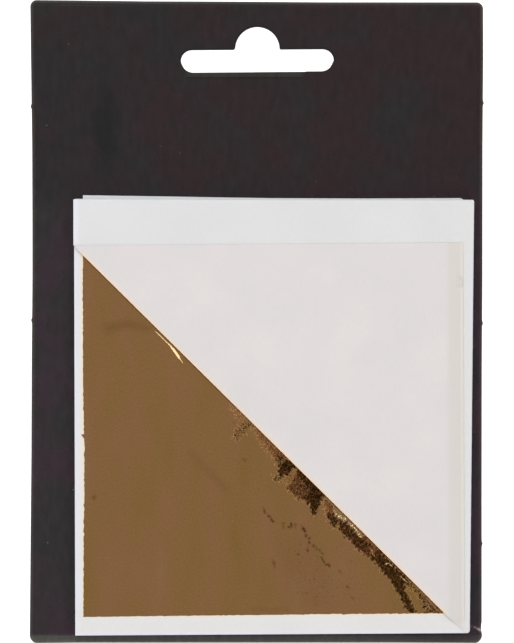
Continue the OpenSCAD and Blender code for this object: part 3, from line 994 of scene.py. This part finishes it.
def leaf_outline(shift, chance):
    """The torn outline of a leaf, anticlockwise from its lower left. A sliver stands out at the left."""
    corners = np.array([(-38.42, -65.6), (-20, -65.36), (3, -65.12), (18, -64.92), *leaf_square[1:3],
                        leaf_square[3] + [0.04, 0], (-38.52, -14), (-38.35, -20.5), (-38.3, -25.0),
                        (-38.95, -25.1), (-38.28, -26.0), (-38.24, -30), (-38.23, -40), (-38.38, -46)])
    corners = corners + shift
    wander = [0.02] * 3 + [0.03] * 3 + [0.04] * 9
    sides = zip(corners, np.roll(corners, -1, 0), wander)
    return np.concatenate([ragged(start, end, out, chance) for start, end, out in sides])


crumple_shares = ("dark", "rust", "glint", "facets", "stain_and_shade")


def beaten_leaf():
    """Imitation gold leaf, brass beaten to under a micrometre. It mirrors softly, with a fine satin crinkle
    and broad faint streaks that turn towards olive and brown. Crumpled places break up into small facets,
    dark where they face the dark ring of the tent, rusty where the metal is doubled, and glinting where they
    face its wall. Their colour is painted as well: painted shade and dark reflection where the leaf is
    crumpled, beside the fold and in the creases, and a paler painted highlight where it glints."""
    made, add, flat = finish("beaten_brass_leaf")
    streak_mm, crinkle_mm, fleck_mm, grit_mm, facet_mm = 8.0, 0.45, 2.6, 0.5, 0.5
    tall = add("Mapping", {"Vector": flat, "Scale": (1.0, 0.35, 1.0)})
    streaks = add("TexNoise", {"Vector": tall, "Scale": 1 / streak_mm, "Detail": 3.0})
    metal = add("ValToRGB", [streaks], stops=[
        (0.3, "#ebb56b"), (0.45, "#f0b674"), (0.6, "#f2b37a"), (0.75, "#efb981")])
    # The satin crinkle is under 0.2 mm across. It is drawn at 0.45 mm so that it shows.
    crinkle = add("TexNoise", {"Vector": flat, "Scale": 1 / crinkle_mm, "Detail": 3.0})
    metal = toned(add, metal, crinkle, 0.93, 1.07)
    cells = add("TexVoronoi", {"Vector": flat, "Scale": 1 / fleck_mm})
    fleck = add("MapRange", [cells, 0.08, 0.04, 0.0, 0.55])
    pick = add("SeparateColor", [cells.node.outputs["Color"]])
    dark_or_light = add("Mix", [pick, "#8a5a2c", "#ffe3b8"])
    metal = add("Mix", [fleck, metal, dark_or_light])
    shares = [add("Attribute", out="Fac", attribute_name=share) for share in crumple_shares]
    dark, rust, glint, amount, stain_and_shade = shares
    patterns = []
    for shift in (0.0, 31.0, 57.0):
        moved = add("Mapping", {"Vector": flat, "Location": (shift, shift, 0.0), "Scale": (1.0, 0.65, 1.0)})
        grit = add("TexNoise", {"Vector": moved, "Scale": 1 / grit_mm, "Detail": 6.0, "Roughness": 0.85})
        patterns.append(add("MapRange", [grit, 0.34, 0.66]))
    # Painted shade and dark reflection: the colours laid where the leaf is dark.
    shade_and_stain_colours = add("ValToRGB", [patterns[0]], stops=[
        (0.25, "#342412"), (0.5, "#573819"), (0.7, "#85512a"), (0.9, "#b37c48")])
    rusty = add("Mix", [patterns[2], "#8e4a24", "#f0a56c"])
    # The pale glint colour is a painted highlight. The rusty colour is the metal's own.
    for pattern, share, colour in zip(patterns, (rust, dark, glint), (rusty, shade_and_stain_colours, "#f7d29a")):
        both = add("Math", [pattern, share])
        mask = add("MapRange", [both, 0.9, 1.25], interpolation_type="SMOOTHSTEP")
        metal = add("Mix", [mask, metal, colour])
    # Stains, with painted shade beside the fold and along the creases.
    metal = add("Mix", [stain_and_shade, metal, "#6c3406"])
    rough = add("MapRange", [streaks, 0.3, 0.7, 0.2, 0.26])
    # Facets: each cell slopes its own way, by up to about 20 degrees where the leaf is most crumpled.
    facets = add("TexVoronoi", {"Vector": flat, "Scale": 1 / facet_mm}, voronoi_dimensions="2D")
    within_cell = add("VectorMath", [flat, facets.node.outputs["Position"]], operation="SUBTRACT")
    slope = add("VectorMath", [facets.node.outputs["Color"], (0.5, 0.5, 0.5)], operation="SUBTRACT")
    facet = add("VectorMath", [within_cell, slope], operation="DOT_PRODUCT")
    facet_slope = 0.37
    amount = add("Math", [amount, facet_slope], operation="MULTIPLY")
    facet = add("Math", [facet, amount], operation="MULTIPLY")
    fine = add("Math", [crinkle, 0.02], operation="MULTIPLY")
    relief = add("Math", [facet, fine])
    bump = add("Bump", {"Strength": 1.0, "Distance": MM, "Height": relief})
    return shaded(made, Base_Color=metal, Metallic=1.0, Roughness=rough, Normal=bump)


def to_lines(points):
    """Distance from each point to the nearest ridge or crease."""
    return np.min([gap_to_path(points, line) for line in ridge_lines + crease_lines], 0)


def in_areas(points):
    """Above 0 for the points in a crumpled area or less than 1 mm outside it."""
    return np.max([soft_area(points, shape, 2.0) for shape in area_shapes], 0)


def first_leaf_points(extent):
    """Points in the first leaf, coarse under the turned-up sheet and closest beside lines and the fold."""
    coarse, medium, close, closest = [grid(*extent, step) for step in (1.7, 0.8, 0.26, 0.13)]
    line_band, fold_band, fold_middle = 0.55, 0.4, 0.2
    at_lines = (to_lines(closest) < line_band) | (np.abs(off_fold(closest) - fold_middle) < fold_band)
    at_areas = (in_areas(close) > 0) & (off_fold(close) > -0.3)
    at_areas &= (to_lines(close) > line_band) & (np.abs(off_fold(close) - fold_middle) > fold_band)
    in_open = (off_fold(medium) > 0.7) & (in_areas(medium) == 0)
    crests = [(line, half) for line, (*_, half) in zip(ridge_lines, ridges)]
    clear = np.all([gap_to_path(closest, line) > half + 0.07 for line, half in crests], 0)
    return np.concatenate([coarse[off_fold(coarse) < -0.6], medium[in_open], close[at_areas],
                           closest[at_lines & clear], *[ridge_rows(line, half) for line, half in crests]])


leaf_finish = beaten_leaf()
for k in range(sheet_count, 0, -1):
    leaf_name = leaf_nodes(k)[1]
    low, high = corners_of(leaf_name)
    chance = np.random.default_rng(40 + k)
    outline = leaf_outline(low[:2] - leaf_low[:2], chance)
    base = (low[2] + high[2]) / 2 - leaf_sink
    extent = (low[0], low[1] - 0.2, high[0], high[1] + 0.4)
    inner = first_leaf_points(extent) if k == 1 else grid(*extent, 1.7)
    inner = inner[inside(inner, [outline])]
    inner = inner[gap_to(inner, outline) > 0.1]

    def leaf_surfaces(points, k=k, base=base):
        rise = share_of(k) * looseness(points)
        if k == 1:
            own = crumples(points)[0]
        else:
            own = leaf_wave * (1 + np.sin(points[:, 0] / 3.1 + k) * np.sin(points[:, 1] / 5.3 + 2 * k))
        return at_height(points, base + rise + own + leaf_t), at_height(points, base + rise + own)

    leaf = cut_out(f"metal_leaf_{k:02d}", [outline], inner, leaf_surfaces, [leaf_finish], sharp=25)
    if k == 1:
        for name, values in zip(crumple_shares, crumples(flat_of(leaf))[1:]):
            hold(leaf, name, values)
    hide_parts(leaf_name)
    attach(leaf, "loose_leaf" if k == 1 else f"page_{k:02d}")


# Front sheet
# The top tissue of the booklet is folded on a diagonal. The part above the crease stays on the booklet, and
# the rest is turned up over it. The fold was only pressed by hand, so it stands a little round, and lies
# flatter below the leaf.
front_low, front_high = corners_of("front_tissue")
flap_low, flap_high = corners_of("front_flap")
front_level = (front_low[2] + front_high[2]) / 2
flap_level = (flap_low[2] + flap_high[2]) / 2
nose = 0.06
nose_out = 0.165
leaf_ends = 117.0
settle = 3.0
sink_below_leaf = 0.2
bottom_slope = (sheet_square[1][1] - sheet_square[0][1]) / (sheet_square[1][0] - sheet_square[0][0])
crease_drop = crease_start[1] - sheet_square[0][1] - bottom_slope * (crease_start[0] - sheet_square[0][0])
fold_from = crease_start + 0.17 * along_crease
crease_end = crease_start + along_crease * crease_drop / (bottom_slope * along_crease[0] - along_crease[1])
apex = sheet_square[0] - 2 * ((sheet_square[0] - crease_start) @ off_crease) * off_crease
right_edge = (sheet_square[1], sheet_square[2])
left_edge = (sheet_square[3], sheet_square[0])
flap_edge = (crease_end, apex)
# Painted light: a bluish painted highlight along the left edge and a thin one along the right edge, with a
# faint painted shadow band inside the right edge, beside the turned-up flap.
front_finish = bleached_tissue("bleached_front_tissue", "#e0e0e0", "#dddddd", [
    (left_edge, 0.8, 1.6, "#e6e6ec", 0.9),
    (right_edge, 1.4, 2.0, "#e0dfdc", 0.9),
    (right_edge, 0.4, 0.7, "#e0e0e6", 0.9),
])
# Painted light: a darker painted shade band along the flap's free edge, where the leaves beneath show
# through, a thin painted highlight at that edge, and a painted cream glow along the fold beside the leaf,
# from light bounced off it.
flap_finish = bleached_tissue("bleached_turned_tissue", "#e1dbda", "#dcd8d7", [
    (flap_edge, 2.6, 4.2, "#d7d1ca", 0.7),
    (flap_edge, 0.4, 0.8, "#e1dbd6", 0.9),
    ((crease_start, crease_end, "leaf"), 0.1, 1.1, "#eed8c2", 0.95),
])


def sunk(points):
    """How far the folded sheet sinks onto the tissue below it, past the leaf's lower edge."""
    return sink_below_leaf * smooth((leaf_low[1] - 0.1 - points[:, 1]) / 1.8)


def front_surfaces(points):
    upper, lower = loose_sheet(front_level, 1.0)(points)
    drop = at_height(0 * points, sunk(points))
    return upper - drop, lower - drop


cut_right, cut_bottom = sheet_square[1] + [0.0, 0.35], sheet_square[1] - [0.7, 0.0]
front_loop = np.concatenate([
    straight(fold_from, crease_end, 1.0), straight(crease_end, cut_bottom, 0.4),
    straight(cut_bottom, cut_right, 0.3), straight(cut_right, sheet_square[2], 1.0),
    straight(sheet_square[2], sheet_square[3], 1.0), straight(sheet_square[3], fold_from, 1.0)])
inner = off_bend(grid(*sheet_square[0], *sheet_square[2], 1.6))
inner = inner[off_fold(inner) < -0.9]
front_bend = turn_y - crease_start[1]
bend = bend_rows(sheet_square[3][0], sheet_square[2][0], front_bend)
inner = np.concatenate([within(inner, sheet_square, 0.9), bend[off_fold(bend) < -0.3]])
front = cut_out("front_sheet", [front_loop], inner, front_surfaces, [front_finish])
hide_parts("front_tissue", "glued_margins")
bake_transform(front)


def folded(points):
    """The turned-up part. Its first strip goes round the nose of the fold, the rest settles on the sheet."""
    out = -off_fold(points)
    turn = np.clip(out / (np.pi * nose), 0, 1) * np.pi
    past = np.maximum(out - np.pi * nose, 0)
    flatter = 1 - 0.75 * smooth(((points - crease_start) @ along_crease - leaf_ends) / 4)
    reach = np.where(turn < np.pi, -nose_out * flatter * np.sin(turn), past)
    tall = nose * flatter
    spring = front_level + 2 * tall - flap_level
    over = flap_level + spring * (1 - smooth(past / settle))
    level = np.where(turn < np.pi, front_level + tall * (1 - np.cos(turn)), over)
    spot = points + (reach - out)[:, None] * off_crease
    level = level + looseness(spot) - sunk(spot)
    side = tissue_t / 2 * np.sin(turn)
    lift = tissue_t / 2 * np.cos(turn)
    outer = np.column_stack([spot - side[:, None] * off_crease, level - lift])
    inner = np.column_stack([spot + side[:, None] * off_crease, level + lift])
    return outer, inner


crease_points = straight(fold_from, crease_end, 0.3)
flap_loop = np.concatenate([crease_points, straight(crease_end, apex, 0.8), straight(apex, fold_from, 0.8)])
coarse = grid(*flap_low[:2], *flap_high[:2], 1.6)
coarse = coarse[off_fold(coarse) < -4.5]
past_nose = np.pi * nose + np.array([0.06, 0.12, 0.18, 0.25, 0.45, 0.7])
steps = np.concatenate([np.linspace(0, np.pi * nose, 9)[1:], past_nose, np.arange(1.2, 4.5, 0.5)])
run = np.arange(0.32, math.dist(crease_start, crease_end), 0.3)
rows = np.concatenate([crease_start + along_crease * run[:, None] + off_crease * out for out in steps])
inner = np.concatenate([coarse, rows])
inner = inner[inside(inner, [flap_loop])]
inner = inner[gap_to_path(inner, np.array([crease_end, apex, fold_from])) > 0.3]
flap = cut_out("turned_up_flap", [flap_loop], inner, folded, [flap_finish])
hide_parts("front_flap")
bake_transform(flap)
